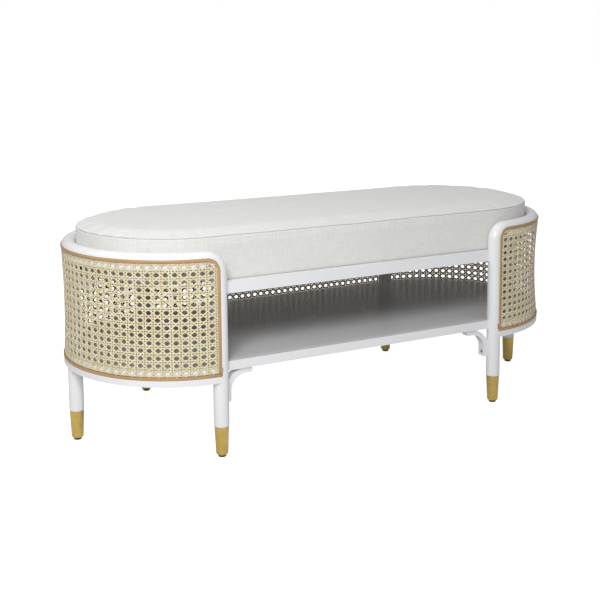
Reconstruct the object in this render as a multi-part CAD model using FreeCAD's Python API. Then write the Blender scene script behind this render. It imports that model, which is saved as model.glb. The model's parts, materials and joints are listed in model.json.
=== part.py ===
import FreeCAD, Part
import math
import os

# A low seat bench with a capsule-shaped plan: a frame of white bent poles, woven cane round the
# ends and the back, an open shelf at the front, an upholstered seat and brass-tipped legs.
# Frame: +X along the length, the open front faces -Y, +Z up, origin on the floor under the middle.
# All sizes are in millimetres.

V = FreeCAD.Vector
UP = V(0, 0, 1)

# Plan: a capsule, two half circles joined by straight sides
HALF_STRAIGHT = 352.0                 # from the middle to the centre of each end's half circle
LEG_RING = 240.0                      # radius on which the leg axes stand
POLE_R = 16.0                         # legs and top pole are 32 mm round
ELBOW = 28.0                          # centre-line radius of the front elbows
TOP_RING = math.sqrt(LEG_RING**2 - ELBOW**2)   # top pole's centre line, so that the elbow is tangent
ELBOW_TURN = math.degrees(math.atan2(ELBOW, TOP_RING))
TOP_Z = 420.0                         # axis of the top pole
SPLICE_X = 292.0                      # where the bent poles meet the straight one, along the back
SHOULDER_IN, SHOULDER_OUT = 243.5, 252.4    # flat shoulder under the pole, behind the webbing's edge
SHOULDER_BOTTOM, SHOULDER_TOP = 402.0, 416.0
SHOULDER_SWEEP = 172.0                # it stops short of the elbow

# Foot: brass ferrule over the tapered end of the leg, and a levelling glide under it
FERRULE_TOP = 65.5
FERRULE_BOTTOM = 4.2
FERRULE_TOP_R = 15.3
FERRULE_TIP_R = 12.65
FERRULE_WALL = 1.2
FERRULE_FLOOR = 1.5
FERRULE_ROUND = 4.5
FERRULE_MOUTH_R = 6.2
LEG_END_ROUND = 2.0
PAD_R = 8.3
PAD_TOP = 4.0
PAD_ROUND = 0.7
SOCKET_R = 6.0                        # hollow in the pad that holds the head of the stud
SOCKET_BOTTOM, SOCKET_TOP = 1.1, 3.0
NECK_R, NECK_HOLE_R = 3.2, 3.6
HEAD_R = 5.5
HEAD_BOTTOM, HEAD_TOP = 1.4, 2.7
HEX_ACROSS_FLATS = 10.0
HEX_BOTTOM, HEX_TOP = 4.4, 8.0
STUD_R, STUD_TOP = 4.0, 30.0          # M8 thread, drawn plain
INSERT_R, INSERT_BORE_R = 6.0, 4.06
INSERT_BOTTOM, INSERT_TOP = 9.0, 27.0
FOOT_HOLE_R, FOOT_HOLE_TOP = 4.5, 33.0
PIN_Z = 39.0
PIN_R, PIN_HEAD_R = 0.7, 1.3
PIN_PROUD, PIN_SUNK = 0.4, 0.5        # the nail's head, outside and inside the ferrule's surface
PIN_POINT = 6.0                       # from the leg's axis

# Lower rail: a flat-faced bent band lapped into the legs
BAND_IN, BAND_OUT = 240.0, 256.0
BAND_BOTTOM, BAND_TOP = 162.0, 194.0
BAND_SCREW_Z = 169.0

# Cane webbing and the rattan splines that hold its edges in their grooves
CANE_IN, CANE_OUT = 252.6, 253.8
SPLINE_W = 7.0
UPPER_SPLINE_IN, UPPER_SPLINE_OUT = 250.4, 254.9
UPPER_SPLINE_TOP = 424.6
LOWER_SPLINE_IN, LOWER_SPLINE_OUT = 251.0, 256.5
LOWER_SPLINE_BOTTOM, LOWER_SPLINE_TOP = 175.5, 181.6
FRONT_SPLINE_X = HALF_STRAIGHT + 2.7  # inner edge of the upright spline on each front leg
SPLINE_CORNER = 28.0                  # outer radius of the spline's bend under the elbow
END_POST_FLAT = 248.5                 # end posts are planed here, clear of the cane

# Shelf
SHELF_TOP, SHELF_BOTTOM = 201.0, 186.0
SHELF_RAIL_BOTTOM = 181.0
SHELF_RAIL_FRONT, SHELF_RAIL_BACK = -240.0, -212.0
SHELF_SEAT_Y = -224.0                 # the board's front edge, in the rail's rebate
BLOCK_IN, BLOCK_BOTTOM = 222.0, 165.0
BLOCK_LENGTH = 40.0
BLOCK_TURNS = (130.0, 230.0)          # round the left end, in degrees from +X
BACK_BLOCK_X = 150.0

# Seat: fabric over foam over a board, on two apron rails and two end cleats
APRON_BOTTOM, APRON_TOP = 344.0, 369.0
APRON_OUT, APRON_IN = 240.0, 195.0
CLEAT_IN, CLEAT_HALF_WIDTH = 196.0, 40.0
SEAT_R = 222.0
SEAT_TOP = 470.0
SEAT_ROUND = 10.0
FABRIC = 2.0
HEM, HEM_IN = 1.0, 212.0
BOARD_TOP = 382.0

# Corner brackets: a steamed strip bent through a quarter turn
STRIP_T, STRIP_W = 12.0, 20.0
BRACKET_REACH, BRACKET_DROP = 74.0, 68.0
BRACKET_BEND = 40.0
BRACKET_OFF_LEG = 19.0                # strip's middle, measured from the leg's axis
BRACKET_INSET = 4.0                   # its outer face, behind the rail's
STRIP_END_ROUND = 3.0

# Fasteners
DOWEL_R = 4.0
SPLICE_DOWEL_R, SPLICE_DOWEL_HALF = 6.0, 30.0
POLE_DOWEL_BOTTOM, POLE_DOWEL_TOP = 389.0, 417.0
RAIL_DOWEL_IN_LEG, RAIL_DOWEL_IN_RAIL = 5.0, 35.0   # a rail dowel's ends, from the leg's axis
RAIL_DOWEL_SIDE = 8.0                 # how far inside the ring of legs the rail dowels lie
SHELF_DOWEL_Z = 190.0
SCREW_R, SCREW_HEAD_R, SCREW_HEAD_T = 2.0, 4.0, 2.4
RAIL_SCREW_HEAD = 14.0                # a lower rail's screw head, inside the ring of legs
RAIL_SCREW_SIDE = 6.0                 # beside the leg's axis
RAIL_SCREW, END_RAIL_SCREW = 26.0, 27.0
CLEAT_SCREW, CLEAT_SCREW_RISE = 42.0, 6.0
SEAT_SCREW, SEAT_SCREW_INSET = 34.0, 14.0
SEAT_SCREW_X, SEAT_SCREW_Y = 250.0, 25.0   # along the aprons, and beside the middle of the cleats
SHELF_SCREW, BLOCK_SCREW = 14.0, 30.0
SHELF_SCREW_X = (-270.0, -90.0)
SHELF_SCREW_INSET = 6.0
BRACKET_RAIL_SCREW, BRACKET_LEG_SCREW = 24.0, 26.0
BRACKET_SCREW_REACH, BRACKET_SCREW_DROP, BRACKET_SCREW_INSET = 66.0, 57.0, 8.0
CUT = 20.0                            # how far a cutting shape runs past what it cuts


# ---------------------------------------------------------------- basic shapes

def rod(radius, start, end):
    """A round bar between two points."""
    along = end - start
    return Part.makeCylinder(radius, along.Length, start, along)


def box(x0, x1, y0, y1, z0, z1):
    return Part.makeBox(x1 - x0, y1 - y0, z1 - z0, V(x0, y0, z0))


def capsule(radius, z0, z1):
    """A solid with the bench's plan, at this distance from the line between the end centres."""
    left, right = -HALF_STRAIGHT, HALF_STRAIGHT
    edges = [
        Part.makeLine(V(left, -radius, z0), V(right, -radius, z0)),
        Part.Arc(V(right, -radius, z0), V(right + radius, 0, z0), V(right, radius, z0)).toShape(),
        Part.makeLine(V(right, radius, z0), V(left, radius, z0)),
        Part.Arc(V(left, radius, z0), V(left - radius, 0, z0), V(left, -radius, z0)).toShape(),
    ]
    return Part.Face(Part.Wire(edges)).extrude(V(0, 0, z1 - z0))


def capsule_shell(r_in, r_out, z0, z1):
    return capsule(r_out, z0, z1).cut(capsule(r_in, z0, z1))


def end_ring(r_in, r_out, z0, z1, middle=180.0, sweep=180.0):
    """Part of a ring round the left end's centre; angles in degrees from +X."""
    centre = V(-HALF_STRAIGHT, 0, z0)
    height = z1 - z0
    ring = Part.makeCylinder(r_out, height, centre, UP, sweep)
    ring = ring.cut(Part.makeCylinder(r_in, height, centre, UP, sweep))
    ring.rotate(centre, UP, middle - sweep / 2)
    return ring


def mirrored(shape):
    """The same piece for the right end."""
    return shape.mirror(V(0, 0, 0), V(1, 0, 0))


def joined(first, *others):
    return first.fuse(list(others)).removeSplitter()


def screw(head, direction, length):
    """A countersunk wood screw, its thread drawn plain, from the middle of its head."""
    cone = Part.makeCone(SCREW_HEAD_R, SCREW_R, SCREW_HEAD_T, head, direction)
    shank = Part.makeCylinder(SCREW_R, length, head, direction)
    return joined(cone, shank)


def rounded_at(shape, radius, z, edge_radius):
    """Rounds the circular edge of this radius that lies at height z."""
    edges = [
        e for e in shape.Edges
        if isinstance(e.Curve, Part.Circle)
        and abs(e.Curve.Radius - edge_radius) < 0.01
        and abs(e.Curve.Center.z - z) < 0.01
    ]
    return shape.makeFillet(radius, edges)


# ---------------------------------------------------------------- legs and feet

def ferrule_cone(inset, bottom):
    """The ferrule's outside, drawn in by inset and cut off at bottom, with its tip rounded."""
    height = FERRULE_TOP - bottom
    slope = (FERRULE_TOP_R - FERRULE_TIP_R) / (FERRULE_TOP - FERRULE_BOTTOM)
    top_r = FERRULE_TOP_R - inset
    tip_r = top_r - slope * height
    cone = Part.makeCone(tip_r, top_r, height, V(0, 0, bottom))
    return rounded_at(cone, FERRULE_ROUND - inset, bottom, tip_r)


def ferrule(x, y):
    tenon = ferrule_cone(FERRULE_WALL, FERRULE_BOTTOM + FERRULE_FLOOR)
    mouth = Part.makeCylinder(FERRULE_MOUTH_R, FERRULE_TOP)
    shape = ferrule_cone(0, FERRULE_BOTTOM).cut(tenon).cut(mouth)
    shape.translate(V(x, y, 0))
    return shape


def leg_shaft(x, y, top):
    """A leg up to this height, its foot tapered for the ferrule and bored for the insert."""
    shaft = Part.makeCylinder(POLE_R, top - FERRULE_TOP, V(0, 0, FERRULE_TOP))
    shaft = rounded_at(shaft, LEG_END_ROUND, FERRULE_TOP, POLE_R)
    tenon = ferrule_cone(FERRULE_WALL, FERRULE_BOTTOM + FERRULE_FLOOR)
    pocket = Part.makeCylinder(FERRULE_MOUTH_R, INSERT_BOTTOM)
    bore = Part.makeCylinder(INSERT_R, INSERT_TOP)
    hole = Part.makeCylinder(FOOT_HOLE_R, FOOT_HOLE_TOP)
    leg = joined(shaft, tenon).cut(pocket).cut(bore).cut(hole)
    leg.translate(V(x, y, 0))
    return leg


def insert(x, y):
    """Threaded sleeve in the end of the leg."""
    height = INSERT_TOP - INSERT_BOTTOM
    base = V(x, y, INSERT_BOTTOM)
    return Part.makeCylinder(INSERT_R, height, base).cut(Part.makeCylinder(INSERT_BORE_R, height, base))


def glide_pad(x, y):
    """Round foot that swivels on the head of the stud."""
    pad = Part.makeCylinder(PAD_R, PAD_TOP)
    pad = rounded_at(pad, PAD_ROUND, 0, PAD_R)
    pad = rounded_at(pad, PAD_ROUND, PAD_TOP, PAD_R)
    socket = Part.makeCylinder(SOCKET_R, SOCKET_TOP - SOCKET_BOTTOM, V(0, 0, SOCKET_BOTTOM))
    mouth = Part.makeCylinder(NECK_HOLE_R, PAD_TOP - HEAD_TOP, V(0, 0, HEAD_TOP))
    pad = pad.cut(socket).cut(mouth)
    pad.translate(V(x, y, 0))
    return pad


def hexagon(across_flats, z0, z1):
    corner = across_flats / math.sqrt(3)
    turns = [math.radians(60 * i) for i in range(7)]
    outline = Part.makePolygon([V(corner * math.cos(t), corner * math.sin(t), z0) for t in turns])
    return Part.Face(outline).extrude(V(0, 0, z1 - z0))


def glide_stud(x, y):
    """Levelling stud: head in the pad, hexagon for a spanner and M8 shank in the insert."""
    head = Part.makeCylinder(HEAD_R, HEAD_TOP - HEAD_BOTTOM, V(0, 0, HEAD_BOTTOM))
    neck = Part.makeCylinder(NECK_R, HEX_BOTTOM - HEAD_TOP, V(0, 0, HEAD_TOP))
    shank = Part.makeCylinder(STUD_R, STUD_TOP - HEX_TOP, V(0, 0, HEX_TOP))
    stud = joined(head, neck, hexagon(HEX_ACROSS_FLATS, HEX_BOTTOM, HEX_TOP), shank)
    stud.translate(V(x, y, 0))
    return stud


def ferrule_pin(x, y, turn):
    """Small brass nail that holds the ferrule; turn is its direction in degrees from +X."""
    out = V(math.cos(math.radians(turn)), math.sin(math.radians(turn)), 0)
    axis = V(x, y, PIN_Z)
    slope = (FERRULE_TOP_R - FERRULE_TIP_R) / (FERRULE_TOP - FERRULE_BOTTOM)
    surface = FERRULE_TOP_R - slope * (FERRULE_TOP - PIN_Z)
    head = rod(PIN_HEAD_R, axis + out * (surface - PIN_SUNK), axis + out * (surface + PIN_PROUD))
    return joined(head, rod(PIN_R, axis + out * PIN_POINT, axis + out * surface))


# ---------------------------------------------------------------- poles

def back_shoulder(x0, x1):
    """The pole's flat shoulder along the straight back."""
    return box(x0, x1, SHOULDER_IN, SHOULDER_OUT, SHOULDER_BOTTOM, SHOULDER_TOP)


def bent_pole():
    """The left pole: foot, front leg, elbow, end curve and a short run along the back."""
    leg_x, leg_y = -HALF_STRAIGHT, -LEG_RING
    elbow_z = TOP_Z - ELBOW
    leg = leg_shaft(leg_x, leg_y, elbow_z)
    start = V(leg_x, leg_y, elbow_z)
    turn = math.radians(ELBOW_TURN)
    along = V(-math.cos(turn), math.sin(turn), 0)
    disc = Part.Face(Part.Wire(Part.makeCircle(POLE_R, start, UP)))
    elbow = disc.revolve(start + along * ELBOW, UP.cross(along), 90)
    top = start + along * ELBOW + UP * ELBOW
    disc = Part.Face(Part.Wire(Part.makeCircle(POLE_R, top, along)))
    curve = disc.revolve(V(leg_x, 0, TOP_Z), -UP, 180 - ELBOW_TURN)
    back = rod(POLE_R, V(leg_x, TOP_RING, TOP_Z), V(-SPLICE_X, TOP_RING, TOP_Z))
    shoulder = end_ring(SHOULDER_IN, SHOULDER_OUT, SHOULDER_BOTTOM, SHOULDER_TOP,
                        90 + SHOULDER_SWEEP / 2, SHOULDER_SWEEP)
    return joined(leg, elbow, curve, back, shoulder, back_shoulder(leg_x, -SPLICE_X))


# ---------------------------------------------------------------- splines and cane

def front_spline_outline():
    """Upright and rounded corner of the spline on the left front leg, as a face seen from the front."""
    inner_x = -FRONT_SPLINE_X
    outer_x = inner_x - SPLINE_W
    foot = LOWER_SPLINE_TOP
    bend_x = inner_x - SPLINE_CORNER
    bend_z = UPPER_SPLINE_TOP - SPLINE_CORNER
    inner_bend = SPLINE_CORNER - SPLINE_W
    half = math.sqrt(0.5)

    def on_bend(radius, cos, sin):
        return V(bend_x + radius * cos, 0, bend_z + radius * sin)

    edges = [
        Part.makeLine(V(outer_x, 0, foot), V(inner_x, 0, foot)),
        Part.makeLine(V(inner_x, 0, foot), V(inner_x, 0, bend_z)),
        Part.Arc(*[on_bend(SPLINE_CORNER, c, s) for c, s in ((1, 0), (half, half), (0, 1))]).toShape(),
        Part.makeLine(on_bend(SPLINE_CORNER, 0, 1), on_bend(inner_bend, 0, 1)),
        Part.Arc(*[on_bend(inner_bend, c, s) for c, s in ((0, 1), (half, half), (1, 0))]).toShape(),
        Part.makeLine(V(outer_x, 0, bend_z), V(outer_x, 0, foot)),
    ]
    return Part.Face(Part.Wire(edges))


def front_prism(face):
    """A face in the XZ plane, stretched over the depth of the front leg."""
    prism = face.extrude(V(0, 2 * POLE_R + 2 * CUT, 0))
    prism.translate(V(0, -LEG_RING - POLE_R - CUT, 0))
    return prism


def upper_spline():
    """One strip: up the left front leg, round the top of the ends and back, down the right leg."""
    bend_x = FRONT_SPLINE_X + SPLINE_CORNER
    z0 = UPPER_SPLINE_TOP - SPLINE_W
    ring = capsule_shell(UPPER_SPLINE_IN, UPPER_SPLINE_OUT, z0, UPPER_SPLINE_TOP)
    ring = ring.cut(box(-bend_x, bend_x, -UPPER_SPLINE_OUT - CUT, 0, z0 - CUT, UPPER_SPLINE_TOP + CUT))
    shell = capsule_shell(UPPER_SPLINE_IN, UPPER_SPLINE_OUT, BAND_BOTTOM, UPPER_SPLINE_TOP + CUT)
    corner = shell.common(front_prism(front_spline_outline()))
    return joined(ring, corner, mirrored(corner))


def lower_spline():
    ring = capsule_shell(LOWER_SPLINE_IN, LOWER_SPLINE_OUT, LOWER_SPLINE_BOTTOM, LOWER_SPLINE_TOP)
    gap = box(-FRONT_SPLINE_X, FRONT_SPLINE_X, -LOWER_SPLINE_OUT - CUT, 0, BAND_BOTTOM, BAND_TOP)
    return ring.cut(gap)


def back_spline(x):
    """Upright strip on a back post, over the butted edges of two pieces of webbing."""
    half = SPLINE_W / 2
    return box(x - half, x + half, UPPER_SPLINE_IN, UPPER_SPLINE_OUT,
               LOWER_SPLINE_TOP, UPPER_SPLINE_TOP - SPLINE_W)


def end_cane(r_out):
    """Webbing round the left end, from the front leg's spline to the back post's spline."""
    z0, z1 = LOWER_SPLINE_TOP, UPPER_SPLINE_TOP - SPLINE_W
    sheet = end_ring(CANE_IN, r_out, z0, z1)
    edge_x = -FRONT_SPLINE_X - SPLINE_W
    bend_x = -FRONT_SPLINE_X - SPLINE_CORNER
    bend_z = UPPER_SPLINE_TOP - SPLINE_CORNER
    inner_bend = SPLINE_CORNER - SPLINE_W
    strip = box(edge_x, -HALF_STRAIGHT, -BAND_OUT - CUT, 0, z0, z1)
    square = box(bend_x, edge_x, -BAND_OUT - CUT, 0, bend_z, z1)
    round_off = rod(inner_bend, V(bend_x, -BAND_OUT - CUT, bend_z), V(bend_x, 0, bend_z))
    return sheet.cut(strip).cut(square.cut(round_off)).cut(back_spline(-HALF_STRAIGHT))


def back_cane(r_out):
    z0, z1 = LOWER_SPLINE_TOP, UPPER_SPLINE_TOP - SPLINE_W
    edge = HALF_STRAIGHT - SPLINE_W / 2
    return box(-edge, edge, CANE_IN, r_out, z0, z1)


# ---------------------------------------------------------------- brackets

def bracket_strip():
    """A bent strip in the corner between a leg (on the Z axis) and a rail whose underside is z = 0."""
    mid = STRIP_T / 2
    bend_x = BRACKET_OFF_LEG + BRACKET_BEND
    bend_z = -mid - BRACKET_BEND

    def quarter(radius):
        centre = V(bend_x, 0, bend_z)
        half = math.sqrt(0.5)
        return Part.Arc(centre + V(0, 0, radius), centre + V(-radius * half, 0, radius * half),
                        centre + V(-radius, 0, 0)).toShape()

    outer, inner = BRACKET_BEND + mid, BRACKET_BEND - mid
    edges = [
        Part.makeLine(V(BRACKET_REACH, 0, 0), V(bend_x, 0, 0)),
        quarter(outer),
        Part.makeLine(V(bend_x - outer, 0, bend_z), V(bend_x - outer, 0, -BRACKET_DROP)),
        Part.makeLine(V(bend_x - outer, 0, -BRACKET_DROP), V(bend_x - inner, 0, -BRACKET_DROP)),
        Part.makeLine(V(bend_x - inner, 0, -BRACKET_DROP), V(bend_x - inner, 0, bend_z)),
        quarter(inner),
        Part.makeLine(V(bend_x, 0, -STRIP_T), V(BRACKET_REACH, 0, -STRIP_T)),
        Part.makeLine(V(BRACKET_REACH, 0, -STRIP_T), V(BRACKET_REACH, 0, 0)),
    ]
    strip = Part.Face(Part.Wire(Part.__sortEdges__(edges))).extrude(V(0, STRIP_W, 0))
    free_corners = (V(BRACKET_REACH, 0, -STRIP_T), V(bend_x - inner, 0, -BRACKET_DROP))

    def is_free_corner(edge):
        mid_point = edge.CenterOfMass
        return any(math.hypot(mid_point.x - c.x, mid_point.z - c.z) < 0.01 for c in free_corners)

    return strip.makeFillet(STRIP_END_ROUND, [e for e in strip.Edges if is_free_corner(e)])


def bracket(y0, rail_z):
    """Left bracket with its near face at y0, coped to the leg."""
    strip = bracket_strip()
    strip.translate(V(-HALF_STRAIGHT, y0, rail_z))
    leg_y = math.copysign(LEG_RING, y0)
    return strip.cut(Part.makeCylinder(POLE_R, TOP_Z, V(-HALF_STRAIGHT, leg_y, 0)))


def bracket_screws(y, rail_z):
    """One screw up into the rail and one across into the leg."""
    up = screw(V(-HALF_STRAIGHT + BRACKET_SCREW_REACH, y, rail_z - STRIP_T), UP, BRACKET_RAIL_SCREW)
    strip_face = V(-HALF_STRAIGHT + BRACKET_OFF_LEG + STRIP_T / 2, y, rail_z - BRACKET_SCREW_DROP)
    return [up, screw(strip_face, V(-1, 0, 0), BRACKET_LEG_SCREW)]


# ---------------------------------------------------------------- places that repeat

legs = {
    "front_left": (-HALF_STRAIGHT, -LEG_RING),
    "front_right": (HALF_STRAIGHT, -LEG_RING),
    "end_left": (-HALF_STRAIGHT - LEG_RING, 0.0),
    "end_right": (HALF_STRAIGHT + LEG_RING, 0.0),
    "back_left": (-HALF_STRAIGHT, LEG_RING),
    "back_right": (HALF_STRAIGHT, LEG_RING),
}
pin_turns = {
    "front_left": 225, "front_right": 315, "end_left": 0,
    "end_right": 180, "back_left": 135, "back_right": 45,
}
nodes = {}


def both_ends(shapes):
    """The same pieces at the left end and, mirrored, at the right."""
    return list(shapes) + [mirrored(s) for s in shapes]


# ---------------------------------------------------------------- fasteners

end_x = -HALF_STRAIGHT - LEG_RING
apron_z = (APRON_BOTTOM + APRON_TOP) / 2
front_bracket_y, back_bracket_y = -LEG_RING + BRACKET_INSET, LEG_RING - BRACKET_INSET

pole_dowels = [
    rod(DOWEL_R, V(x, y, POLE_DOWEL_BOTTOM), V(x, y, POLE_DOWEL_TOP))
    for x, y in ((end_x + 1, 0), (-HALF_STRAIGHT, LEG_RING - 1))
]
pole_dowels.append(rod(SPLICE_DOWEL_R, V(-SPLICE_X - SPLICE_DOWEL_HALF, TOP_RING, TOP_Z),
                       V(-SPLICE_X + SPLICE_DOWEL_HALF, TOP_RING, TOP_Z)))

dowel_start, dowel_end = -HALF_STRAIGHT + RAIL_DOWEL_IN_LEG, -HALF_STRAIGHT + RAIL_DOWEL_IN_RAIL
dowel_y = LEG_RING - RAIL_DOWEL_SIDE
rail_dowels = [
    rod(DOWEL_R, V(dowel_start, y, z), V(dowel_end, y, z))
    for y, z in ((-dowel_y, apron_z), (dowel_y, apron_z), (-dowel_y, SHELF_DOWEL_Z))
]

rail_screws = [screw(V(end_x + POLE_R - 1, 0, BAND_SCREW_Z), V(-1, 0, 0), END_RAIL_SCREW)]
rail_screw_y = LEG_RING - RAIL_SCREW_HEAD
rail_screws += [
    screw(V(-HALF_STRAIGHT + dx, side * rail_screw_y, BAND_SCREW_Z), V(0, side, 0), RAIL_SCREW)
    for dx, side in ((-RAIL_SCREW_SIDE, -1), (-RAIL_SCREW_SIDE, 1), (RAIL_SCREW_SIDE, 1))
]

cleat_face = -HALF_STRAIGHT - CLEAT_IN
cleat_screws = [
    screw(V(cleat_face, 0, apron_z + rise), V(-1, 0, 0), CLEAT_SCREW)
    for rise in (-CLEAT_SCREW_RISE, CLEAT_SCREW_RISE)
]

seat_screw_y = SEAT_R - SEAT_SCREW_INSET
cleat_screw_x = cleat_face - (SEAT_R - FABRIC - CLEAT_IN) / 2
seat_screws = [
    screw(V(x, side * y, APRON_BOTTOM), UP, SEAT_SCREW)
    for x, y in ((-SEAT_SCREW_X, seat_screw_y), (cleat_screw_x, SEAT_SCREW_Y)) for side in (-1, 1)
]
middle_seat_screws = [screw(V(0, side * seat_screw_y, APRON_BOTTOM), UP, SEAT_SCREW) for side in (-1, 1)]

block_mid = (BLOCK_IN + BAND_IN) / 2
block_places = [
    (-HALF_STRAIGHT + block_mid * math.cos(math.radians(turn)), block_mid * math.sin(math.radians(turn)))
    for turn in BLOCK_TURNS
]
block_places.append((-BACK_BLOCK_X, block_mid))
shelf_screws = [
    screw(V(x, SHELF_SEAT_Y + SHELF_SCREW_INSET, SHELF_RAIL_BOTTOM), UP, SHELF_SCREW) for x in SHELF_SCREW_X
]
shelf_screws += [screw(V(x, y, BLOCK_BOTTOM), UP, BLOCK_SCREW) for x, y in block_places]

bracket_pins = bracket_screws(front_bracket_y + BRACKET_SCREW_INSET, SHELF_RAIL_BOTTOM)
bracket_pins += bracket_screws(back_bracket_y + BRACKET_SCREW_INSET, BAND_BOTTOM)

groups = {
    "pole_dowels": both_ends(pole_dowels),
    "rail_dowels": both_ends(rail_dowels),
    "rail_screws": both_ends(rail_screws),
    "cleat_screws": both_ends(cleat_screws),
    "seat_screws": both_ends(seat_screws) + middle_seat_screws,
    "shelf_screws": both_ends(shelf_screws),
    "bracket_screws": both_ends(bracket_pins),
    "ferrule_pins": [ferrule_pin(*legs[leg], pin_turns[leg]) for leg in legs],
    "glide_inserts": [insert(x, y) for x, y in legs.values()],
}
nodes.update((name, Part.makeCompound(solids)) for name, solids in groups.items())


def bored(shape, *names):
    """Cuts the holes for these groups of fasteners."""
    for name in names:
        shape = shape.cut(groups[name])
    return shape


# ---------------------------------------------------------------- webbing

spline_upper = upper_spline()
spline_lower = lower_spline()
back_splines = [back_spline(-HALF_STRAIGHT), back_spline(HALF_STRAIGHT)]
cane_left = end_cane(CANE_OUT)
cane_right = mirrored(cane_left)
cane_back = back_cane(CANE_OUT)
end_recess = end_cane(BAND_OUT + 1)
webbing_recess = [spline_upper, spline_lower, end_recess, mirrored(end_recess),
                  back_cane(BAND_OUT + 1)] + back_splines
nodes["cane_spline_upper"] = spline_upper
nodes["cane_spline_lower"] = spline_lower
nodes["cane_splines_back"] = Part.makeCompound(back_splines)
nodes["cane_left"] = cane_left
nodes["cane_right"] = cane_right
nodes["cane_back"] = cane_back

# ---------------------------------------------------------------- frame

pole_left = bent_pole()
pole_back = joined(rod(POLE_R, V(-SPLICE_X, TOP_RING, TOP_Z), V(SPLICE_X, TOP_RING, TOP_Z)),
                   back_shoulder(-SPLICE_X, SPLICE_X))
band_left = end_ring(BAND_IN, BAND_OUT, BAND_BOTTOM, BAND_TOP)
band_back = box(-HALF_STRAIGHT, HALF_STRAIGHT, BAND_IN, BAND_OUT, BAND_BOTTOM, BAND_TOP)
bands = [band_left, mirrored(band_left), band_back]
rebate = capsule_shell(CANE_IN, BAND_OUT + 1, LOWER_SPLINE_TOP, BAND_TOP)


def finished_band(band):
    """A lower rail with its grooves for the splines and its rebate for the cane."""
    grooved = band.cut([spline_lower, spline_upper, rebate] + back_splines)
    return bored(grooved, "rail_screws", "bracket_screws", "shelf_screws")


nodes["lower_rail_left"] = finished_band(band_left)
nodes["lower_rail_right"] = mirrored(nodes["lower_rail_left"])
nodes["lower_rail_back"] = finished_band(band_back)

nodes["bent_pole_left"] = bored(pole_left.cut(bands).cut(webbing_recess), "pole_dowels", "rail_dowels",
                                "rail_screws", "bracket_screws", "ferrule_pins")
nodes["bent_pole_right"] = mirrored(nodes["bent_pole_left"])
nodes["top_pole_back"] = bored(pole_back.cut(webbing_recess), "pole_dowels")

end_flat = box(end_x - POLE_R, -HALF_STRAIGHT - END_POST_FLAT, -POLE_R, POLE_R, BAND_TOP, TOP_Z)
back_flat = box(-HALF_STRAIGHT - POLE_R, -HALF_STRAIGHT + POLE_R, CANE_IN, LEG_RING + POLE_R,
                BAND_TOP, TOP_Z)
post_holes = ("pole_dowels", "rail_dowels", "rail_screws", "bracket_screws", "cleat_screws",
              "ferrule_pins")


def post(leg, flat):
    """A straight post, saddled to the top pole, notched for the rail and flattened for the cane."""
    shape = leg_shaft(*legs[leg], TOP_Z).cut(pole_left).cut(bands).cut(flat).cut(webbing_recess)
    return bored(shape, *post_holes)


nodes["post_end_left"] = post("end_left", end_flat)
nodes["post_end_right"] = mirrored(nodes["post_end_left"])
nodes["post_back_left"] = post("back_left", back_flat)
nodes["post_back_right"] = mirrored(nodes["post_back_left"])
leg_cylinders = [Part.makeCylinder(POLE_R, TOP_Z, V(x, y, 0)) for x, y in legs.values()]

# ---------------------------------------------------------------- feet

for leg, (x, y) in legs.items():
    nodes["ferrule_" + leg] = bored(ferrule(x, y), "ferrule_pins")
    nodes["glide_pad_" + leg] = glide_pad(x, y)
    nodes["glide_stud_" + leg] = glide_stud(x, y)

# ---------------------------------------------------------------- shelf

front_block = box(-HALF_STRAIGHT, HALF_STRAIGHT, SHELF_RAIL_FRONT, SHELF_RAIL_BACK,
                  SHELF_RAIL_BOTTOM, SHELF_TOP)
shelf_rail = front_block.cut(box(-HALF_STRAIGHT, HALF_STRAIGHT, SHELF_SEAT_Y, SHELF_RAIL_BACK,
                                 SHELF_BOTTOM, SHELF_TOP)).cut(leg_cylinders)
nodes["shelf_rail_front"] = bored(shelf_rail, "rail_dowels", "shelf_screws", "bracket_screws")

shelf = capsule(BAND_IN, SHELF_BOTTOM, SHELF_TOP).cut(leg_cylinders)
shelf = shelf.cut(box(-HALF_STRAIGHT, HALF_STRAIGHT, -BAND_IN, SHELF_SEAT_Y, SHELF_BOTTOM, SHELF_TOP))
nodes["shelf_board"] = bored(shelf, "shelf_screws", "rail_dowels")

block_sweep = math.degrees(BLOCK_LENGTH / BAND_IN)
blocks = [end_ring(BLOCK_IN, BAND_IN, BLOCK_BOTTOM, SHELF_BOTTOM, turn, block_sweep) for turn in BLOCK_TURNS]
blocks.append(box(-BACK_BLOCK_X - BLOCK_LENGTH / 2, -BACK_BLOCK_X + BLOCK_LENGTH / 2,
                  BLOCK_IN, BAND_IN, BLOCK_BOTTOM, SHELF_BOTTOM))
nodes["shelf_blocks"] = Part.makeCompound([bored(b, "shelf_screws") for b in both_ends(blocks)])

# ---------------------------------------------------------------- corner brackets

for name, y0, rail_z in (("front", front_bracket_y, SHELF_RAIL_BOTTOM),
                         ("back", back_bracket_y, BAND_BOTTOM)):
    left = bored(bracket(y0, rail_z), "bracket_screws")
    nodes["corner_bracket_" + name + "_left"] = left
    nodes["corner_bracket_" + name + "_right"] = mirrored(left)

# ---------------------------------------------------------------- seat

for name, y0, y1 in (("front", -APRON_OUT, -APRON_IN), ("back", APRON_IN, APRON_OUT)):
    apron = box(-HALF_STRAIGHT, HALF_STRAIGHT, y0, y1, APRON_BOTTOM, APRON_TOP).cut(leg_cylinders)
    nodes["apron_rail_" + name] = bored(apron, "rail_dowels", "seat_screws")

cleat = box(end_x, cleat_face, -CLEAT_HALF_WIDTH, CLEAT_HALF_WIDTH, APRON_BOTTOM, APRON_TOP)
nodes["seat_cleat_left"] = bored(cleat.cut(leg_cylinders), "cleat_screws", "seat_screws")
nodes["seat_cleat_right"] = mirrored(nodes["seat_cleat_left"])

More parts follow.
